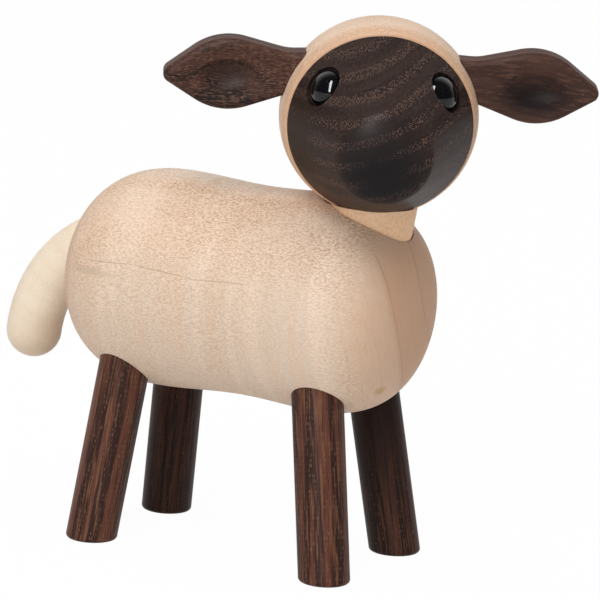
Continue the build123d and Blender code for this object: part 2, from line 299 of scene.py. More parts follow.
@dataclass(frozen=True)
class LogPlace:
    """A point's place in its log, in millimetres.

    Attributes:
        recipe: The recipe that it belongs to.
        along: How far along the fibres it lies.
        out: How far out from the heart.
        round: How far round the log.
        end: 1 where the surface cuts straight across the fibres, 0 where they run along it.
    """

    recipe: "Recipe"
    along: Value
    out: Value
    round: Value
    end: Value

    def steps(self, size: Triple, shift: float = 0.0) -> Socket:
        """The place, counted in steps of a size in millimetres and moved along the fibres by a shift."""
        length, width, depth = size
        return self.recipe.vector(self.along / length + shift, self.round / width, self.out / depth)

    def noise(self, size: Triple, detail: float = 1.0, roughness: float = 0.5, shift: float = 0.0) -> Value:
        """Soft noise about a half that follows the log, in steps of a size in millimetres."""
        return self.recipe.noise(self.steps(size, shift), detail, roughness)


class Recipe:
    """The nodes of one material, or of the world, added one by one."""

    def __init__(self, owner: Material | bpy.types.World) -> None:
        """Start with no nodes.

        Args:
            owner: The new material or world.
        """
        owner.use_nodes = True
        self.owner = owner
        self.tree = owner.node_tree
        self.tree.nodes.clear()

    def node(self, kind: str, settings: Mapping[str, object], sockets: Inputs) -> bpy.types.Node:
        """Add a node.

        Args:
            kind: The node's type.
            settings: Its own settings, which are set first.
            sockets: What goes into its inputs: a Value, a socket, or a plain number, vector or linear colour.

        Returns:
            The new node.
        """
        made = self.tree.nodes.new(kind)
        for name, setting in settings.items():
            setattr(made, name, setting)
        for key, given in sockets.items():
            taker = made.inputs[key]
            source = given.socket if isinstance(given, Value) else given
            if isinstance(source, Socket):
                self.tree.links.new(source, taker)
            else:
                taker.default_value = (*source, 1.0) if taker.type == "RGBA" else source
        return made

    def vector(self, x: Value | float, y: Value | float, z: Value | float) -> Socket:
        """Three numbers as one vector."""
        return self.node("ShaderNodeCombineXYZ", {}, {0: x, 1: y, 2: z}).outputs[0]

    def noise(self, place: Socket, detail: float = 1.0, roughness: float = 0.5) -> Value:
        """Soft noise.

        Args:
            place: Where, in steps of the noise.
            detail: How many finer layers it has.
            roughness: How strong the finer layers are.

        Returns:
            A number about a half.
        """
        settings = {"noise_dimensions": "3D"}
        sockets = {"Vector": place, "Scale": 1.0, "Detail": detail, "Roughness": roughness}
        return Value(self, self.node("ShaderNodeTexNoise", settings, sockets).outputs[0])

    def cells(self, place: Socket) -> tuple[Value, Value]:
        """Scattered spots, one in each step.

        Args:
            place: Where, in steps of the pattern.

        Returns:
            The distance from the nearest spot's middle, and a number from 0 to 1 that is the spot's own.
        """
        made = self.node("ShaderNodeTexVoronoi", {"feature": "F1"}, {"Vector": place, "Scale": 1.0})
        own = self.node("ShaderNodeSeparateColor", {}, {0: made.outputs["Color"]})
        return Value(self, made.outputs["Distance"]), Value(self, own.outputs[0])

    def ease(self, value: Value, low: float, high: float, full: float = 1.0) -> Value:
        """A smooth step.

        Args:
            value: The number that it depends on.
            low: Where it is still 0; it falls where this is the larger of the two.
            high: Where it is full.
            full: What it is there.

        Returns:
            A number from 0 to full.
        """
        sockets = {"Value": value, "From Min": low, "From Max": high, "To Max": full}
        made = self.node("ShaderNodeMapRange", {"interpolation_type": "SMOOTHSTEP"}, sockets)
        return Value(self, made.outputs[0])

    def blend(self, share: Value | float, first: object, second: object) -> Socket:
        """A mix of two colours or output sockets, with a share of the second from 0 to 1."""
        sockets = {MIX_SHARE: share, MIX_FIRST: first, MIX_SECOND: second}
        return self.node("ShaderNodeMix", {"data_type": "RGBA"}, sockets).outputs[MIX_RESULT]

    def dot(self, place: Socket, way: Sequence[float]) -> Value:
        """How far a place or a direction lies along a fixed way."""
        made = self.node("ShaderNodeVectorMath", {"operation": "DOT_PRODUCT"}, {0: place, 1: way})
        return Value(self, made.outputs["Value"])

    def moved(self, origin: Vector, axes: Matrix, steps: Sequence[float]) -> Socket:
        """The surface's place in a frame of its own.

        Args:
            origin: The frame's origin in the sheep's frame, in metres.
            axes: The frame's axes as columns.
            steps: How long one step along each axis is, in millimetres.

        Returns:
            The place, counted in steps.
        """
        here = self.node("ShaderNodeTexCoord", {}, {}).outputs["Object"]
        sockets = {
            "Vector": here,
            "Location": origin,
            "Rotation": axes.to_euler("XYZ"),
            "Scale": [step * MM for step in steps],
        }
        return self.node("ShaderNodeMapping", {"vector_type": "TEXTURE"}, sockets).outputs[0]

    def marked(self, colour: object, marks: Sequence[Mark]) -> object:
        """A colour with stains and knots on it.

        Args:
            colour: The colour's socket.
            marks: The marks.

        Returns:
            The new colour's socket.
        """
        for mark in marks:
            centre = mark.origin + mark.axes @ Vector(mark.place) * MM
            place = self.moved(centre, mark.axes, mark.size)
            away = self.node("ShaderNodeVectorMath", {"operation": "LENGTH"}, {0: place})
            share = self.ease(Value(self, away.outputs["Value"]), *MARK_FADE)
            colour = self.blend(share * mark.strength, colour, mark.colour)
        return colour

    def inside(self, tree: Log) -> tuple[Value, Value, Value]:
        """Where the surface lies beside a log's axes.

        Args:
            tree: The log.

        Returns:
            How far along the log, out towards the piece and square to both, in millimetres.
        """
        here = self.moved(tree.heart, tree.axes(), (1.0, 1.0, 1.0))
        split = self.node("ShaderNodeSeparateXYZ", {}, {0: here})
        x, y, z = (Value(self, out) for out in split.outputs)
        return x + tree.shift, y, z

    def place_in(self, tree: Log, wander: float) -> LogPlace:
        """Where the surface lies in its log.

        Args:
            tree: The log.
            wander: How far, in millimetres, the rings wander from true circles.

        Returns:
            The place in the log.
        """
        along, y, z = self.inside(tree)
        waves = self.vector(along / WANDER_LENGTH, y / WANDER_WIDTH, z / WANDER_WIDTH)
        slow = self.noise(waves, FINER_LAYERS)
        out = (y * y + z * z).root() + (slow - NOISE_MIDDLE) * (2 * wander)
        facing = self.node("ShaderNodeTexCoord", {}, {}).outputs["Normal"]
        end = abs(self.dot(facing, tree.fibres.normalized()))
        return LogPlace(self, along, out, z.angle(y) * tree.reach(), end)

    def finish(
        self, colour: object, roughness: Value | float, height: Value, depth: float, others: Inputs
    ) -> Material:
        """Close the recipe with its shader.

        Args:
            colour: The colour's socket.
            roughness: The roughness.
            height: The relief, from 0 to 1.
            depth: How deep a relief of 1 is, in metres.
            others: The shader's other sockets.

        Returns:
            The material.
        """
        bump = self.node("ShaderNodeBump", {}, {"Strength": 1.0, "Distance": depth, "Height": height})
        sockets = {"Base Color": colour, "Roughness": roughness, "Normal": bump.outputs[0], **others}
        shader = self.node("ShaderNodeBsdfPrincipled", {}, sockets)
        self.node("ShaderNodeOutputMaterial", {}, {"Surface": shader.outputs[0]})
        return self.owner


@dataclass(frozen=True)
class PaleWood:
    """Fine pale wood with thin ring lines, short ray flecks and a soft curl across the fibres.

    Lengths are in millimetres.

    Attributes:
        light: The palest colour.
        deep: The colour of the deeper patches.
        end: The colour of end grain.
        line: The colour of the lines between the rings.
        fleck: The colour of the ray flecks.
        ring_width: From one ring line to the next.
        ring_start: Where in a ring the heart line lies, as a share of a ring.
        line_strength: How strong the ring lines are where the fibres are cut across.
        side_line: How strong they are beside that where the fibres run along the surface.
        line_from: Where along the log they begin to show on the sides.
        wander: How far the rings wander from true circles.
        fleck_size: A fleck's length along the fibres, width round the log and depth towards the heart.
        fleck_strength: How strong the flecks are.
        fleck_band: How far from the heart the flecks are strongest.
        outer: The greyer colour laid over the wood far from the heart, which on the body is its lower near
            flank.
        outer_from: How far from the heart that colour begins.
        inner: The colour of the greyer wood near the heart; on the body's top it also paints the pale sheen
        that the white surroundings give a surface seen at a grazing angle.
        inner_to: How far from the heart that wood reaches.
        dark_end_to: How far from the heart the darker end grain reaches.
        rim_from: Where along the log the wood begins to take on its end-grain colour, up to the piece's end.
        curl_width: From one band of the curl to the next.
        curl_strength: How strong the curl is.
        roughness: The roughness of the sanded surface.
    """

    light: Colour
    deep: Colour
    end: Colour
    line: Colour
    fleck: Colour
    ring_width: float = 5.1
    ring_start: float = 0.0
    line_strength: float = 0.5
    side_line: float = 0.5
    line_from: float = -200.0
    wander: float = 0.5
    fleck_size: Triple = (0.56, 0.13, 1.7)
    fleck_strength: float = 0.4
    fleck_band: float = 0.0
    outer: Colour = (0.80, 0.67, 0.54)
    outer_from: float = 200.0
    inner: Colour = (0.80, 0.67, 0.56)
    inner_to: float = -10.0
    dark_end_to: float = 200.0
    rim_from: float = 1000.0
    curl_width: float = 6.0
    curl_strength: float = 0.3
    roughness: float = 0.6

    def make(self, name: str, tree: Log, marks: Sequence[Mark] = ()) -> Material:
        """The wood of one piece.

        Args:
            name: The material's name.
            tree: The log that the piece is cut from.
            marks: The stains and knots on it.

        Returns:
            The material.
        """
        recipe = Recipe(bpy.data.materials.new(name))
        place = recipe.place_in(tree, self.wander)
        cut = recipe.ease(place.end, *CUT_FADE)
        far_out = recipe.ease(place.out, self.outer_from, self.outer_from + OUTER_RUN)
        patch = place.noise(PATCH_SIZE, FINER_LAYERS)
        band = recipe.ease(abs(place.out - self.fleck_band), *FLECK_BAND_FADE)
        amount = FLECKS_ANYWHERE + recipe.ease(patch, *FLECK_PATCH_FADE) + band
        amount = amount * (1.0 - cut * FLECKS_LOST_AT_END) * (1.0 - far_out * FLECKS_LOST_FAR_OUT)
        flecks = recipe.ease(place.noise(self.fleck_size), *FLECK_FADE) * amount
        colour = recipe.blend(recipe.ease(patch, *PATCH_FADE), self.light, self.deep)
        colour = recipe.blend(far_out, colour, self.outer)
        colour = self.toned(place, colour)
        colour = recipe.blend(flecks * self.fleck_strength, colour, self.fleck)
        colour = self.lined(place, cut, colour)
        colour = recipe.marked(colour, marks)
        roughness = self.roughness + flecks * FLECK_ROUGHNESS
        height = 1.0 - flecks * FLECK_RELIEF
        return recipe.finish(colour, roughness, height, PALE_RELIEF_DEPTH, {"Specular IOR Level": PALE_SHINE})

    def toned(self, place: LogPlace, colour: object) -> Socket:
        """A colour with the wood near the heart, the curl, the end grain and an end-grain band laid over it.

        Args:
            place: The place in the log.
            colour: The colour's socket.

        Returns:
            The new colour's socket.
        """
        recipe = place.recipe
        heart = recipe.ease(place.out, self.inner_to, self.inner_to - INNER_RUN)
        curl = place.noise((self.curl_width, CURL_REACH, CURL_REACH))
        darker = recipe.ease(place.out, self.dark_end_to + DARK_END_RUN, self.dark_end_to)
        strength = LIGHTER_END_STRENGTH + darker * (1.0 - LIGHTER_END_STRENGTH)
        rim = recipe.ease(place.along, self.rim_from, self.rim_from + RIM_RUN, RIM_STRENGTH)
        # Greyer near the heart: the wood's tone, and on the body's top also painted sheen
        colour = recipe.blend(heart, colour, self.inner)
        colour = recipe.blend(recipe.ease(curl, *DEEP_CURL_FADE, self.curl_strength), colour, self.deep)
        colour = recipe.blend(recipe.ease(curl, *LIGHT_CURL_FADE, self.curl_strength), colour, self.light)
        colour = recipe.blend(recipe.ease(place.end, *END_FADE) * strength, colour, self.end)
        return recipe.blend(rim, colour, self.end)

    def lined(self, place: LogPlace, cut: Value, colour: object) -> Socket:
        """A colour with light specks, and with threads, ring shades and ring lines where the fibres are cut.

        Args:
            place: The place in the log.
            cut: How much the fibres are cut across.
            colour: The colour's socket.

        Returns:
            The new colour's socket.
        """
        recipe = place.recipe
        rings = place.out / self.ring_width + self.ring_start
        ring = rings.fraction()
        half_ring = (rings * 2.0).fraction()
        specks = recipe.ease(place.noise(self.fleck_size, shift=SPECK_SHIFT), *SPECK_FADE)
        threads = recipe.ease(place.noise(THREAD_SIZE, FINER_LAYERS), *THREAD_FADE)
        shade = ring**RING_SHADE_SHARPNESS
        strong = ring**LINE_SHARPNESS * (self.side_line + cut * (1.0 - self.side_line))
        faint = half_ring**FAINT_LINE_SHARPNESS * cut * FAINT_LINE_STRENGTH
        unbroken = recipe.ease(place.noise(GAP_SIZE, FINER_LAYERS), *GAP_FADE)
        begun = recipe.ease(place.along, self.line_from, self.line_from + LINE_RUN)
        shown = begun.larger(recipe.ease(place.end, *SQUARE_CUT_FADE))
        lines = strong.larger(faint) * unbroken * shown
        on_cut = cut * self.line_strength
        colour = recipe.blend(specks * (1.0 - cut), colour, self.light)
        colour = recipe.blend(threads * on_cut, colour, self.fleck)
        colour = recipe.blend(shade * on_cut * RING_SHADE_STRENGTH, colour, self.fleck)
        return recipe.blend(lines * self.line_strength, colour, self.line)


@dataclass(frozen=True)
class DarkWood:
    """Dark open-pored wood: striped, with bands of pores that are filled with light dust.

    Lengths are in millimetres.

    Attributes:
        ground: The main colour.
        stripe: The colour of the darker stripes.
        warm: The colour of the lighter streaks.
        end: The colour of end grain.
        pore: The colour of the filled pores.
        ring_width: From one band of pores to the next.
        ring_start: Where in a ring the heart line lies, as a share of a ring.
        band: How much of a ring its band of pores takes.
        scatter: How many of the pores lie outside the bands, from 0 to 1.
        pore_size: A pore's length along the fibres and its width.
        pore_share: How many of the places for a pore are filled.
        stripe_width: About how wide a stripe is.
        streak_size: A fine streak's length along the fibres and its width.
        roughness: The roughness of the oiled surface.
        shine: How strongly the oiled surface reflects.
        polish: How strongly end grain that is worn smooth reflects besides.
        wander: How far the rings wander from true circles.
    """

    ground: Colour
    stripe: Colour
    warm: Colour
    end: Colour
    pore: Colour
    ring_width: float = 3.8
    ring_start: float = 0.0
    band: float = 0.45
    scatter: float = 0.1
    pore_size: Pair = (2.4, 0.34)
    pore_share: float = 0.6
    stripe_width: float = 1.8
    streak_size: Pair = (14.0, 0.5)
    roughness: float = 0.45
    shine: float = 0.1
    polish: float = 0.0
    wander: float = 0.5

    def shaded(self, share: float) -> "DarkWood":
        """The same wood made lighter or darker: another tree's tone, and on the far legs painted shade.

        Args:
            share: How bright it is beside this one.

        Returns:
            The new wood.
        """
        names = ("ground", "stripe", "warm", "end", "pore")
        tones = {name: tuple(share * part for part in getattr(self, name)) for name in names}
        return replace(self, **tones)

    def make(self, name: str, tree: Log, lathe: Log | None = None, marks: Sequence[Mark] = ()) -> Material:
        """The wood of one piece.

        Args:
            name: The material's name.
            tree: The log that the piece is cut from.
            lathe: The line that the piece was turned about, if the tool's marks show.
            marks: The stains and knots on it.

        Returns:
            The material.
        """
        recipe = Recipe(bpy.data.materials.new(name))
        place = recipe.place_in(tree, self.wander)
        worn = recipe.ease(place.end, *WORN_FADE)
        pores = self.pores(place) * (1.0 - worn * PORES_LOST_WHERE_WORN)
        length, width = self.streak_size
        streaks = place.noise((length, width, width), FINER_LAYERS, STREAK_NOISE_ROUGHNESS)
        size = (STRIPE_LENGTH, STRIPE_REACH, self.stripe_width)
        stripes = place.noise(size, FINER_LAYERS, STREAK_NOISE_ROUGHNESS)
        colour = recipe.blend(recipe.ease(stripes, *STRIPE_FADE), self.ground, self.stripe)
        colour = recipe.blend(recipe.ease(streaks, *WARM_STREAK_FADE), colour, self.warm)
        colour = recipe.blend(recipe.ease(streaks, *DARK_STREAK_FADE), colour, self.stripe)
        colour = recipe.blend(recipe.ease(place.end, *DARK_END_FADE), colour, self.end)
        colour = recipe.blend(pores * PORE_STRENGTH, colour, self.pore)
        colour = recipe.marked(colour, marks)
        height = 1.0 - pores * PORE_RELIEF - recipe.ease(streaks, *STREAK_RELIEF_FADE)
        if lathe is not None:
            turning, _, _ = recipe.inside(lathe)
            ridges = recipe.noise(recipe.vector(turning / RIDGE_WIDTH, 0.0, 0.0)) * (1.0 - worn)
            # The lathe ridges are real relief, and are also painted lighter as painted highlight lines
            colour = recipe.blend(recipe.ease(ridges, *PAINTED_RIDGE_HIGHLIGHT_FADE), colour, self.warm)
            height = height + ridges * RIDGE_RELIEF
        roughness = self.roughness + pores * PORE_ROUGHNESS + (streaks - NOISE_MIDDLE) * STREAK_ROUGHNESS
        shine = {"Specular IOR Level": self.shine}
        if self.polish > 0.0:
            smooth = recipe.ease(place.end, *POLISH_FADE)
            shine |= {"Coat Weight": smooth * self.polish, "Coat Roughness": POLISH_ROUGHNESS}
        return recipe.finish(colour, roughness, height, DARK_RELIEF_DEPTH, shine)

    def pores(self, place: LogPlace) -> Value:
        """The filled pores, most of them in a band of each ring.

        Args:
            place: The place in the log.

        Returns:
            How strong a pore is there.
        """
        recipe = place.recipe
        length, width = self.pore_size
        distance, own = recipe.cells(place.steps((length, width, width)))
        ring = (place.out / self.ring_width + self.ring_start).fraction()
        band = recipe.ease(ring, self.band, self.band * BAND_FULL_SHARE) * recipe.ease(ring, *BAND_START_FADE)
        empty = 1.0 - self.pore_share
        filled = recipe.ease(own, empty, empty + PORE_CHOICE_RUN)
        return recipe.ease(distance, *PORE_FADE) * filled * (self.scatter + band * (1.0 - self.scatter))


@dataclass(frozen=True)
class BlackBead:
    """Polished black with a breath of dust.

    Attributes:
        black: The bead's colour.
        dust: The colour of the dust.
        dust_size: About how far the specks of dust lie apart, in millimetres.
        dust_fade: Where in its noise the dust sets in and where it is full.
        dust_strength: How strong the dust is.
        roughness: The roughness of the clean bead.
        dust_roughness: How much rougher the dust is.
        dust_depth: How high the dust lies, in metres.
        shine: How strongly the bead reflects.
    """

    black: Colour = (0.004, 0.004, 0.005)
    dust: Colour = (0.05, 0.05, 0.05)
    dust_size: float = 0.4
    dust_fade: Pair = (0.62, 0.8)
    dust_strength: float = 0.4
    roughness: float = 0.06
    dust_roughness: float = 0.2
    dust_depth: float = 0.000004
    shine: float = 0.35

    def make(self, name: str) -> Material:
        """The bead's material.

        Args:
            name: The material's name.

        Returns:
            The material.
        """
        recipe = Recipe(bpy.data.materials.new(name))
        fine = recipe.moved(Vector(), Matrix.Identity(3), [self.dust_size] * 3)
        dust = recipe.ease(recipe.noise(fine, FINER_LAYERS), *self.dust_fade)
        colour = recipe.blend(dust * self.dust_strength, self.black, self.dust)
        roughness = self.roughness + dust * self.dust_roughness
        return recipe.finish(colour, roughness, dust, self.dust_depth, {"Specular IOR Level": self.shine})


def dress(node: str, material: Material) -> None:
    """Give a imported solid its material.

    Args:
        node: The solid's name.
        material: What it is made of.
    """
    piece = frame["nodes"][node]
    for slot in piece.material_slots:
        slot.material = material
    log.info("%s: %s, %d faces", node, material.name, len(piece.data.polygons))


def middle(node: str) -> Vector:
    """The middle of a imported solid's box, in metres."""
    low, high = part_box(node)
    return (low + high) / 2


MAPLE = PaleWood(
    light=(0.85, 0.655, 0.505),
    deep=(0.75, 0.55, 0.40),
    end=(0.61, 0.37, 0.235),
    line=(0.34, 0.20, 0.13),
    fleck=(0.55, 0.33, 0.20),
    ring_width=10.2,
    ring_start=0.294,
    line_strength=0.85,
    side_line=0.0,
    line_from=-30.0,
    curl_width=4.6,
    curl_strength=0.6,
    fleck_strength=0.85,
    fleck_band=36.0,
    inner_to=35.0,
    dark_end_to=37.8,
    outer=(0.73, 0.59, 0.465),
    outer_from=44.5,
)

HEAD_MAPLE = PaleWood(
    light=(0.80, 0.61, 0.47),
    deep=(0.72, 0.52, 0.38),
    end=(0.64, 0.37, 0.21),
    line=(0.45, 0.28, 0.17),
    fleck=(0.50, 0.31, 0.19),
    line_strength=0.12,
    fleck_strength=0.35,
    curl_strength=0.15,
    rim_from=33.0,
)

# The neck's maple is warmer, and is also brightened up to full red as painted light, lifting it out of the
# head's shade
NECK_MAPLE = PaleWood(
    light=(1.0, 0.68, 0.42),
    deep=(1.0, 0.60, 0.35),
    end=(0.72, 0.44, 0.26),
    line=(0.45, 0.26, 0.14),
    fleck=(0.62, 0.35, 0.18),
    ring_width=6.5,
    curl_strength=0.15,
)

CREAM_WOOD = PaleWood(
    light=(0.92, 0.79, 0.63),
    deep=(0.84, 0.69, 0.52),
    end=(0.80, 0.63, 0.46),
    line=(0.60, 0.42, 0.27),
    fleck=(0.66, 0.48, 0.33),
    fleck_strength=0.2,
    line_strength=0.25,
    curl_width=2.6,
    curl_strength=0.45,
    roughness=0.5,
)

LEG_WOOD = DarkWood(
    ground=(0.114, 0.042, 0.027),
    stripe=(0.033, 0.015, 0.012),
    warm=(0.186, 0.082, 0.043),
    end=(0.045, 0.022, 0.016),
    pore=(0.23, 0.120, 0.070),
    ring_width=2.7,
    scatter=0.45,
    pore_size=(1.0, 0.15),
    pore_share=0.25,
    stripe_width=1.25,
    streak_size=(9.0, 0.4),
)

FACE_WOOD = DarkWood(
    ground=(0.036, 0.023, 0.020),
    stripe=(0.025, 0.016, 0.015),
    warm=(0.052, 0.032, 0.025),
    end=(0.023, 0.016, 0.0155),
    pore=(0.18, 0.108, 0.082),
    ring_start=0.16,
    scatter=0.06,
    band=0.55,
    pore_size=(1.1, 0.26),
    pore_share=0.8,
    shine=0.05,
    polish=0.06,
)

EAR_WOOD = DarkWood(
    ground=(0.076, 0.034, 0.024),
    stripe=(0.020, 0.012, 0.011),
    warm=(0.145, 0.072, 0.050),
    end=(0.030, 0.017, 0.015),
    pore=(0.20, 0.110, 0.074),
    scatter=0.6,
    pore_size=(1.2, 0.2),
    pore_share=0.35,
    stripe_width=2.4,
    streak_size=(1.3, 0.2),
)

SMOOTH_EAR_WOOD = replace(
    EAR_WOOD,
    ground=(0.090, 0.046, 0.035),
    stripe=(0.060, 0.031, 0.025),
    warm=(0.120, 0.062, 0.044),
    # Its end-grain colour also colours the painted shade in this ear's hollow
    end=(0.011, 0.009, 0.010),
    pore=(0.13, 0.080, 0.060),
    pore_share=0.12,
    streak_size=(4.0, 0.5),
    shine=0.05,
)


# A small knot under the chest, a grey stain on the rump, a stretch of the dark hairline on the right flank,
# and painted shade on the tail's lower end beside the body, placed from the lowest corner of the tail's box
CHEST_KNOT = Mark((28.0, -3.3, 36.8), (2.1, 2.1, 1.6), (0.50, 0.32, 0.13), 0.75)
RUMP_STAIN = Mark((-29.0, -16.5, 54.2), (10.0, 4.0, 1.1), (0.55, 0.40, 0.28), 0.55)
HAIRLINE = Mark(NO_STEP, (9.0, 6.0, 0.17), MAPLE.line, 0.45)
TAIL_PAINTED_SHADE = Mark((9.0, 5.5, 4.0), (10.0, 10.0, 11.0), (0.57, 0.39, 0.25), 0.5)


@dataclass
class Torso:
    """The turned body and the bent tail. Lengths are in millimetres and angles in degrees.

    Attributes:
        heart: From the body's middle to the heart line of its log.
        hairline: The place along X, the height and the fall towards the chest of each of its stretches.
        hairline_right: How far the hairline lies to the right of the middle plane.
        tail_slope: The slope of the tail's fibres below the level.
        tail_heart: From the tail's middle to the heart line of its log.
        tail_shift: How far the noise is moved along that log.
        dowel_heart: From the middle of the tail's dowel to the heart line of its log.
    """

    heart: Triple = (0.0, 27.4, 12.5)
    hairline: tuple[Triple, ...] = ((-25.0, 56.5, -4.0), (-13.0, 56.3, 4.5), (-1.0, 56.0, -3.5))
    hairline_right: float = 17.0
    tail_slope: float = 60.0
    tail_heart: Triple = (0.0, 30.0, 10.0)
    tail_shift: float = 70.0
    dowel_heart: Triple = (0.0, 20.0, 0.0)

    def build(self) -> None:
        """Dress the body, the tail and its dowel."""
        marks = [CHEST_KNOT, RUMP_STAIN]
        for x, height, fall in self.hairline:
            at = Vector((x, -self.hairline_right, height)) * MM
            tilt = Matrix.Rotation(math.radians(fall), 3, "Y")
            marks.append(replace(HAIRLINE, origin=at, axes=tilt))
        body = middle("body")
        body_log = Log(body + Vector(self.heart) * MM, Vector((1.0, 0.0, 0.0)), body)
        dress("body", MAPLE.make("maple_body", body_log, marks))
        slope = math.radians(self.tail_slope)
        fibres = Vector((-math.cos(slope), 0.0, -math.sin(slope)))
        low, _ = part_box("tail")
        tail = middle("tail")
        tail_log = Log(tail + Vector(self.tail_heart) * MM, fibres, tail, self.tail_shift)
        # The tail's lower end beside the body gets painted shade
        dress("tail", CREAM_WOOD.make("cream_tail", tail_log, [replace(TAIL_PAINTED_SHADE, origin=low)]))
        dowel = middle("tail_dowel")
        dowel_log = Log(dowel + Vector(self.dowel_heart) * MM, fibres, dowel)
        dress("tail_dowel", CREAM_WOOD.make("tail_dowel_wood", dowel_log))


@dataclass(frozen=True)
class LegCut:
    """How one leg is cut from its log.

    Attributes:
        end: Which end of the body it carries.
        side: Which side it is on.
        shade: How bright its wood is beside the common leg wood, on the far legs partly as painted shade.
        turn: Where the log's heart lies, in degrees from +X towards +Y.
        painted_shadow: How strong the painted shadow of the body is over the top of the leg.
    """

    end: End
    side: Side
    shade: float
    turn: float
    painted_shadow: float = 0.0


@dataclass
class Legs:
    """Four splayed dowels. Lengths are in millimetres and angles in degrees.

    Attributes:
        splay: How far each leg leans in towards the middle plane.
        rake: How far the legs at each end lean in along the body.
        heart_away: How far the heart line of a leg's log is from the leg.
        log_step: How far the noise is moved along the log from one leg to the next.
        painted_shadow_up: How far the middle of the painted shadow at a leg's top lies above the leg's.
        painted_shadow_size: How far that painted shadow reaches.
        cuts: How each leg is cut.
    """

    splay: float = 5.9
    rake: tuple[tuple[End, float], ...] = ((End.FRONT, 8.95), (End.REAR, 6.1))
    heart_away: float = 45.0
    log_step: float = 53.0
    painted_shadow_up: float = 10.0
    painted_shadow_size: Triple = (18.0, 18.0, 34.0)
    cuts: tuple[LegCut, ...] = (
        # The far (left) legs are darker partly as painted shade from the body over them
        LegCut(End.FRONT, Side.LEFT, 0.6, 70.0, 0.95),
        LegCut(End.FRONT, Side.RIGHT, 1.0, 20.0),
        LegCut(End.REAR, Side.LEFT, 0.4, 40.0),
        LegCut(End.REAR, Side.RIGHT, 1.05, 222.0),
    )

    def build(self) -> None:
        """Dress each leg from a log of its own."""
        leans = dict(self.rake)
        for count, cut in enumerate(self.cuts):
            node = f"leg_{cut.end.name.lower()}_{cut.side.name.lower()}"
            inward = -cut.side.value * math.tan(math.radians(self.splay))
            fibres = Vector((-cut.end.value * math.tan(math.radians(leans[cut.end])), inward, 1.0))
            turn = math.radians(cut.turn)
            away = Vector((math.cos(turn), math.sin(turn), 0.0)) * self.heart_away * MM
            centre = middle(node)
            wood = LEG_WOOD.shaded(cut.shade)
            # The far front leg gets a painted shadow of the body over its top
            top = centre + fibres * self.painted_shadow_up * MM
            marks = [Mark(NO_STEP, self.painted_shadow_size, wood.stripe, cut.painted_shadow, top)] if cut.painted_shadow > 0.0 else []
            tree = Log(centre + away, fibres, centre, self.log_step * count)
            dress(node, wood.make(f"{node}_wood", tree, marks=marks))


# Marks on the head, placed forward, left and up from the ball's middle: a painted warm reflection of the body
# on the lower right cheek, the plain right temple, the dark end of the nose, and painted shade in the hollow
# of each ear, which on the left ear is larger and lower, so that it also darkens that ear's lower half
PAINTED_CHEEK_REFLECTION = Mark((9.0, -9.0, -14.0), (9.0, 13.0, 9.0), (0.11, 0.056, 0.036), 0.55)
TEMPLE = Mark((11.0, -15.0, -2.0), (9.0, 8.0, 13.0), (0.030, 0.016, 0.010), 0.75)
NOSE = Mark((27.0, 0.0, -2.6), (8.0, 10.4, 9.0), (0.011, 0.010, 0.011), 0.95)
LEFT_HOLLOW = Mark((2.0, 29.25, 5.55), (4.5, 10.5, 5.4), SMOOTH_EAR_WOOD.end, 0.85)
RIGHT_HOLLOW = Mark((2.0, -29.25, 7.35), (3.0, 7.0, 3.6), EAR_WOOD.end, 0.85)


@dataclass(frozen=True)
class EarCut:
    """How one ear is cut.

    Attributes:
        side: Which side it is on.
        wood: What it is made of.
        shade: The shade in its hollow.
        heart_up: How far the heart line of its log lies above it, in millimetres.
        shift: How far the noise is moved along that log, in millimetres.
    """

    side: Side
    wood: DarkWood
    shade: Mark
    heart_up: float
    shift: float


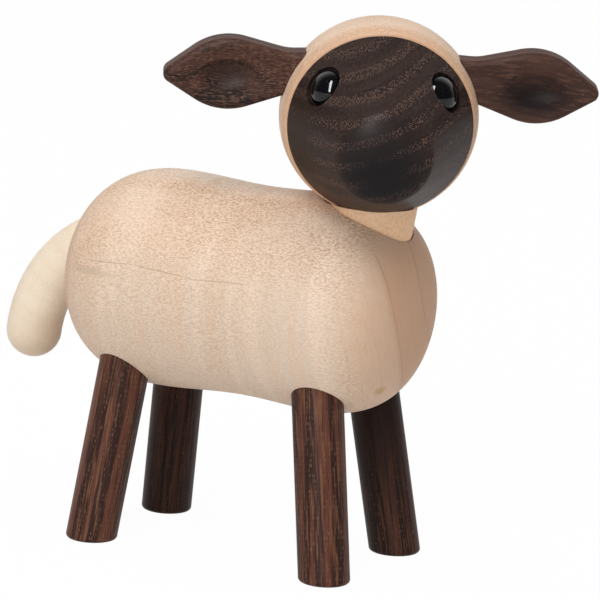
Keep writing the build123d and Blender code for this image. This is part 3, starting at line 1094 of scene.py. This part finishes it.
@dataclass
class Head:
    """The ball on its neck, the dark face, the ears and the eyes.

    Lengths are in millimetres and angles in degrees. Steps and directions are forward, left and up.

    Attributes:
        turn: How far the head is turned to the sheep's left at rest.
        nod: How far the face looks down.
        centre_height: The height of the ball's middle.
        heart: The step from the middle of the ball, the neck or a dowel to the heart line of its log.
        neck_shift: How far the noise is moved along the neck's log.
        ball_shift: How far the noise is moved along the ball's log.
        face_heart: The step from the ball's middle to the heart line of the face's log.
        face_fibres: The direction of the face's fibres.
        face_marks: The marks on the face.
        ear_droop: How far the ears hang below the level.
        ear_heart_ahead: How far the heart line of an ear's log lies in front of it.
        ears: How each ear is cut.
    """

    turn: float = -60.0
    nod: float = 7.7
    centre_height: float = 88.5
    heart: Triple = (0.0, -30.0, -12.0)
    neck_shift: float = 11.0
    ball_shift: float = 31.0
    face_heart: Triple = (11.6, -13.8, 37.6)
    face_fibres: Triple = (0.98, -0.16, 0.14)
    face_marks: tuple[Mark, ...] = (PAINTED_CHEEK_REFLECTION, TEMPLE, NOSE)
    ear_droop: float = 3.35
    ear_heart_ahead: float = -34.0
    ears: tuple[EarCut, ...] = (
        EarCut(Side.LEFT, SMOOTH_EAR_WOOD, LEFT_HOLLOW, 12.0, 90.0),
        EarCut(Side.RIGHT, EAR_WOOD, RIGHT_HOLLOW, -12.0, -90.0),
    )

    def axes(self) -> Matrix:
        """The head's own axes as columns: forward through the face, to the sheep's left, and up."""
        turn = Matrix.Rotation(math.radians(self.turn), 3, "Z")
        return turn @ Matrix.Rotation(math.radians(self.nod), 3, "Y")

    def centre(self) -> Vector:
        """The middle of the ball, in metres."""
        x, y, _ = frame["joints"][0]["pos_m"]
        return Vector((x, y, self.centre_height * MM))

    def step(self, place: Triple) -> Vector:
        """A step in the head's own axes, as metres in the sheep's frame."""
        return self.axes() @ Vector(place) * MM

    def placed(self, mark: Mark) -> Mark:
        """A mark where the head carries it at rest."""
        return replace(mark, origin=self.centre(), axes=self.axes())

    def build(self) -> None:
        """Dress the neck, the ball, the face, the ears, the eyes and the hidden dowels."""
        forward = self.axes() @ Vector((1.0, 0.0, 0.0))
        up = Vector((0.0, 0.0, 1.0))
        beside = self.step(self.heart)
        ball = self.centre()
        neck = middle("neck")
        dress("neck", NECK_MAPLE.make("maple_neck", Log(neck + beside, up, neck, self.neck_shift)))
        dress("head", HEAD_MAPLE.make("maple_head", Log(ball + beside, forward, ball, self.ball_shift)))
        face_fibres = self.axes() @ Vector(self.face_fibres)
        face_log = Log(ball + self.step(self.face_heart), face_fibres, middle("face"))
        lathe = Log(ball + up * MM, forward, ball)
        marks = [self.placed(mark) for mark in self.face_marks]
        dress("face", FACE_WOOD.make("face_wood", face_log, lathe, marks))
        for node, fibres in (("neck_dowel", up), ("face_dowel", forward)):
            at = middle(node)
            dress(node, CREAM_WOOD.make(f"{node}_wood", Log(at + beside, fibres, at)))
        for ear in self.ears:
            self.build_ear(ear)
        for side in Side:
            eye = f"eye_{side.name.lower()}"
            dress(eye, BlackBead().make(f"{eye}_bead"))

    def build_ear(self, ear: EarCut) -> None:
        """Dress one ear.

        Args:
            ear: How it is cut.
        """
        droop = math.radians(self.ear_droop)
        fibres = self.axes() @ Vector((0.0, ear.side.value * math.cos(droop), -math.sin(droop)))
        node = f"ear_{ear.side.name.lower()}"
        at = middle(node)
        tree = Log(at + self.step((self.ear_heart_ahead, 0.0, ear.heart_up)), fibres, at, ear.shift)
        dress(node, ear.wood.make(f"{node}_wood", tree, marks=[self.placed(ear.shade)]))


@dataclass(frozen=True)
class Lamp:
    """A soft lamp that looks at the sheep from a direction. Lengths are in metres and angles in degrees.

    Attributes:
        name: The lamp's name.
        azimuth: Where it stands, round from the -Y side towards +X.
        elevation: How high it stands.
        strength: Its strength, in watts a square metre for a sun or watts for an area.
        spread: A sun's angle, or an area's width and height.
        distance: How far an area stands from the sheep.
        glint: Whether it shows in reflections only, or in none.
    """

    name: str
    azimuth: float
    elevation: float
    strength: float
    spread: float | Pair
    distance: float = 2.0
    glint: bool = False

    def build(self, target: Vector) -> None:
        """Hang the lamp.

        Args:
            target: What it looks at.
        """
        away = direction(self.azimuth, self.elevation)
        area = isinstance(self.spread, tuple)
        bpy.ops.object.light_add(type="AREA" if area else "SUN", location=target + away * self.distance)
        lamp = bpy.context.object
        lamp.name = self.name
        lamp.rotation_euler = (-away).to_track_quat("-Z", "Y").to_euler()
        lamp.data.energy = self.strength
        if area:
            lamp.data.shape = "RECTANGLE"
            lamp.data.size, lamp.data.size_y = self.spread
        else:
            lamp.data.angle = math.radians(self.spread)
        lamp.visible_diffuse = not self.glint
        lamp.visible_glossy = self.glint
        log.info("lamp %s", self.name)


@dataclass
class Studio:
    """The white floor, the soft light and the camera.

    The floor is in metres, the camera in millimetres, and angles are in degrees.

    Attributes:
        floor_size: The side of the floor.
        floor_white: The colour of the floor.
        floor_glow: How much of the floor's white, as seen, doesn't depend on the light.
        floor_fade: How far towards the camera that glow begins and is full.
        sky: The strength of the light from all round.
        sky_fade: How far a direction points towards the camera where the backdrop begins and is full.
        lens: The camera's focal length.
        sensor: The camera's sensor width.
        camera_from_neck: From the neck's axis to the camera along X and Y.
        camera_height: The camera's height.
        camera_azimuth: Where the camera stands, round from the -Y side towards +X.
        camera_elevation: How far the camera looks down.
        camera_roll: How far the camera is rolled.
        lamps: The lamps.
    """

    floor_size: float = 8.0
    floor_white: Colour = (0.9, 0.9, 0.9)
    floor_glow: float = 0.975
    floor_fade: Pair = (0.7, 0.2)
    sky: float = 0.06
    sky_fade: Pair = (0.0, -0.7)
    lens: float = 281.72
    sensor: float = 36.0
    camera_from_neck: Pair = (394.919, -790.088)
    camera_height: float = 232.916
    camera_azimuth: float = 27.404
    camera_elevation: float = 11.587
    camera_roll: float = 3.163
    lamps: Sequence[Lamp] = (
        Lamp("front", 7.0, 36.0, 16.0, (0.36, 1.7), 1.7),
        Lamp("strip", 12.0, 38.0, 46.0, (0.30, 1.9), 1.7, glint=True),
        Lamp("top", 70.0, 78.0, 1.15, 80.0),
        Lamp("top_left", -35.0, 74.0, 0.75, 80.0),
        Lamp("right", 90.0, 42.0, 0.2, 60.0),
    )

    def build(self) -> None:
        """Lay the floor, light the scene and set up the camera."""
        self.build_floor()
        self.build_sky()
        low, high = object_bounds()
        for lamp in self.lamps:
            lamp.build((low + high) / 2)
        self.build_camera()

    def backdrop(self, recipe: Recipe, place: Socket, fade: Pair) -> Value:
        """How much of the white backdrop a ray sees.

        Args:
            recipe: The recipe of the floor or the world.
            place: The socket of the ray's end on the floor, or of its direction.
            fade: How far to the camera's side of the sheep the backdrop begins, and how far it is full.

        Returns:
            Up to 1 for rays from the camera, reflections and glass, and 0 for light that falls on things.
        """
        path = recipe.node("ShaderNodeLightPath", {}, {})
        kinds = ("Camera", "Glossy", "Transmission")
        camera, glossy, glass = (Value(recipe, path.outputs[f"Is {kind} Ray"]) for kind in kinds)
        near = recipe.dot(place, direction(self.camera_azimuth, 0.0))
        return camera.larger(glossy).larger(glass) * recipe.ease(near, *fade)

    def build_floor(self) -> None:
        """A wide white floor that keeps the sheep's shadow."""
        bpy.ops.object.select_all(action="DESELECT")
        bpy.ops.mesh.primitive_plane_add(size=self.floor_size, location=(0.0, 0.0, 0.0))
        floor = bpy.context.object
        floor.name = "floor"
        recipe = Recipe(bpy.data.materials.new("floor_white"))
        shaded = recipe.node("ShaderNodeBsdfDiffuse", {}, {"Color": self.floor_white})
        white = recipe.node("ShaderNodeEmission", {}, {"Color": WHITE, "Strength": 1.0})
        here = recipe.node("ShaderNodeTexCoord", {}, {}).outputs["Object"]
        share = self.backdrop(recipe, here, self.floor_fade) * self.floor_glow
        both = recipe.node("ShaderNodeMixShader", {}, {0: share, 1: shaded.outputs[0], 2: white.outputs[0]})
        recipe.node("ShaderNodeOutputMaterial", {}, {"Surface": both.outputs[0]})
        floor.data.materials.append(recipe.owner)
        floor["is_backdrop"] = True
        log.info("floor")

    def build_sky(self) -> None:
        """Faint light from all round, with a white backdrop where the camera looks."""
        world = bpy.data.worlds.new("studio")
        bpy.context.scene.world = world
        recipe = Recipe(world)
        light = recipe.node("ShaderNodeBackground", {}, {"Strength": self.sky})
        white = recipe.node("ShaderNodeBackground", {}, {"Color": WHITE})
        here = recipe.node("ShaderNodeTexCoord", {}, {}).outputs["Generated"]
        share = self.backdrop(recipe, here, self.sky_fade)
        both = recipe.node("ShaderNodeMixShader", {}, {0: share, 1: light.outputs[0], 2: white.outputs[0]})
        recipe.node("ShaderNodeOutputWorld", {}, {"Surface": both.outputs[0]})

    def build_camera(self) -> None:
        """The camera of the photograph."""
        back = direction(self.camera_azimuth, self.camera_elevation)
        right = direction(self.camera_azimuth + QUARTER_TURN, 0.0)
        level = Matrix((right, back.cross(right), back)).transposed()
        turned = level @ Matrix.Rotation(math.radians(self.camera_roll), 3, "Z")
        neck = Vector(frame["joints"][0]["pos_m"])
        offset = Vector((*self.camera_from_neck, 0.0)) * MM
        bpy.ops.object.camera_add()
        camera = bpy.context.object
        camera.name = "camera"
        camera.data.lens = self.lens
        camera.data.sensor_width = self.sensor
        camera.location = (neck.x + offset.x, neck.y + offset.y, self.camera_height * MM)
        camera.rotation_euler = turned.to_euler()
        bpy.context.scene.camera = camera
        log.info("camera")


def main() -> None:
    """Dress the sheep and build the studio round it."""
    logging.basicConfig(level=logging.INFO, format="%(name)s: %(message)s")
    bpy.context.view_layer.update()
    bpy.context.scene.view_settings.view_transform = "Standard"
    for part in (Torso(), Legs(), Head(), Studio()):
        part.build()


if __name__ == "__main__":
    main()
